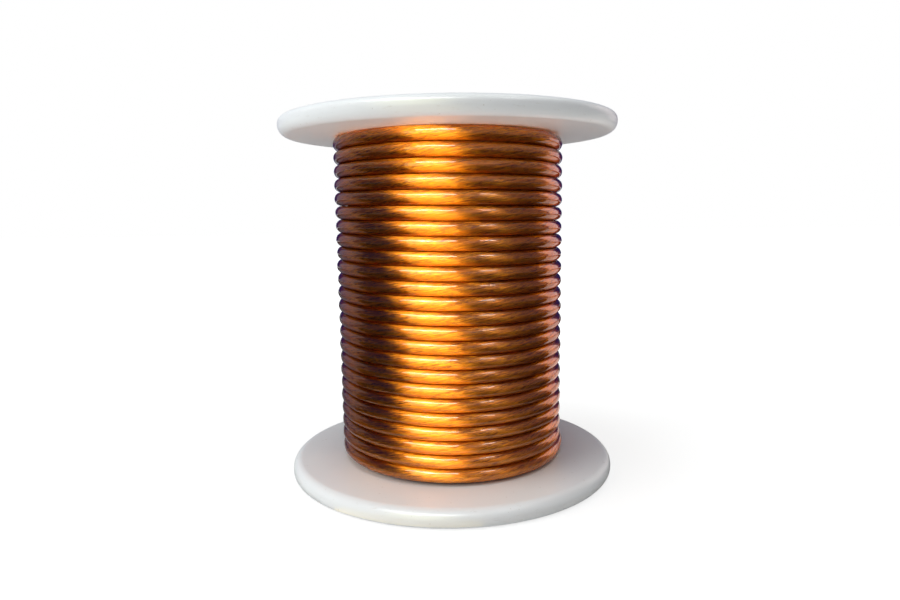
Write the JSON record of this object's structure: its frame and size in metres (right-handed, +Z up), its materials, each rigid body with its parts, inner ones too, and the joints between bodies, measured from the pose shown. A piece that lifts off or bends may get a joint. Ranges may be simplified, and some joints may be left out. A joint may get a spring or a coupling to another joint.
{
  "type": "wire spool",
  "caption": "Cylindrical flanged spool with an arbor bore, wound in even layers with thick film-wrapped litz wire.",
  "frame": {"origin": "centre of the lower flange's outer face, on the arbor's axis", "axes": "+Z up along the arbor bore, -Y towards the side seen from the front, +Y towards the wire's two ends"},
  "size_m": [0.125, 0.125, 0.134],
  "materials": {
    "flange_plastic": "glossy white moulded ABS",
    "barrel_plastic": "white extruded tube",
    "arbor_plastic": "white extruded tube",
    "wrapped_wire": "twisted copper strands under clear amber film",
    "bare_strands": "cut ends of enamelled copper strands",
    "paper_tape": "creped paper adhesive tape"
  },
  "bodies": {
    "root": {"lower_flange": "flange_plastic", "upper_flange": "flange_plastic", "barrel": "barrel_plastic", "arbor_tube": "arbor_plastic", "wire_inner_layers": "wrapped_wire", "wire_outer_layer": "wrapped_wire", "start_lead": "wrapped_wire", "start_strands": "bare_strands", "finish_strands": "bare_strands", "finish_tape": "paper_tape"}
  },
  "joints": []
}
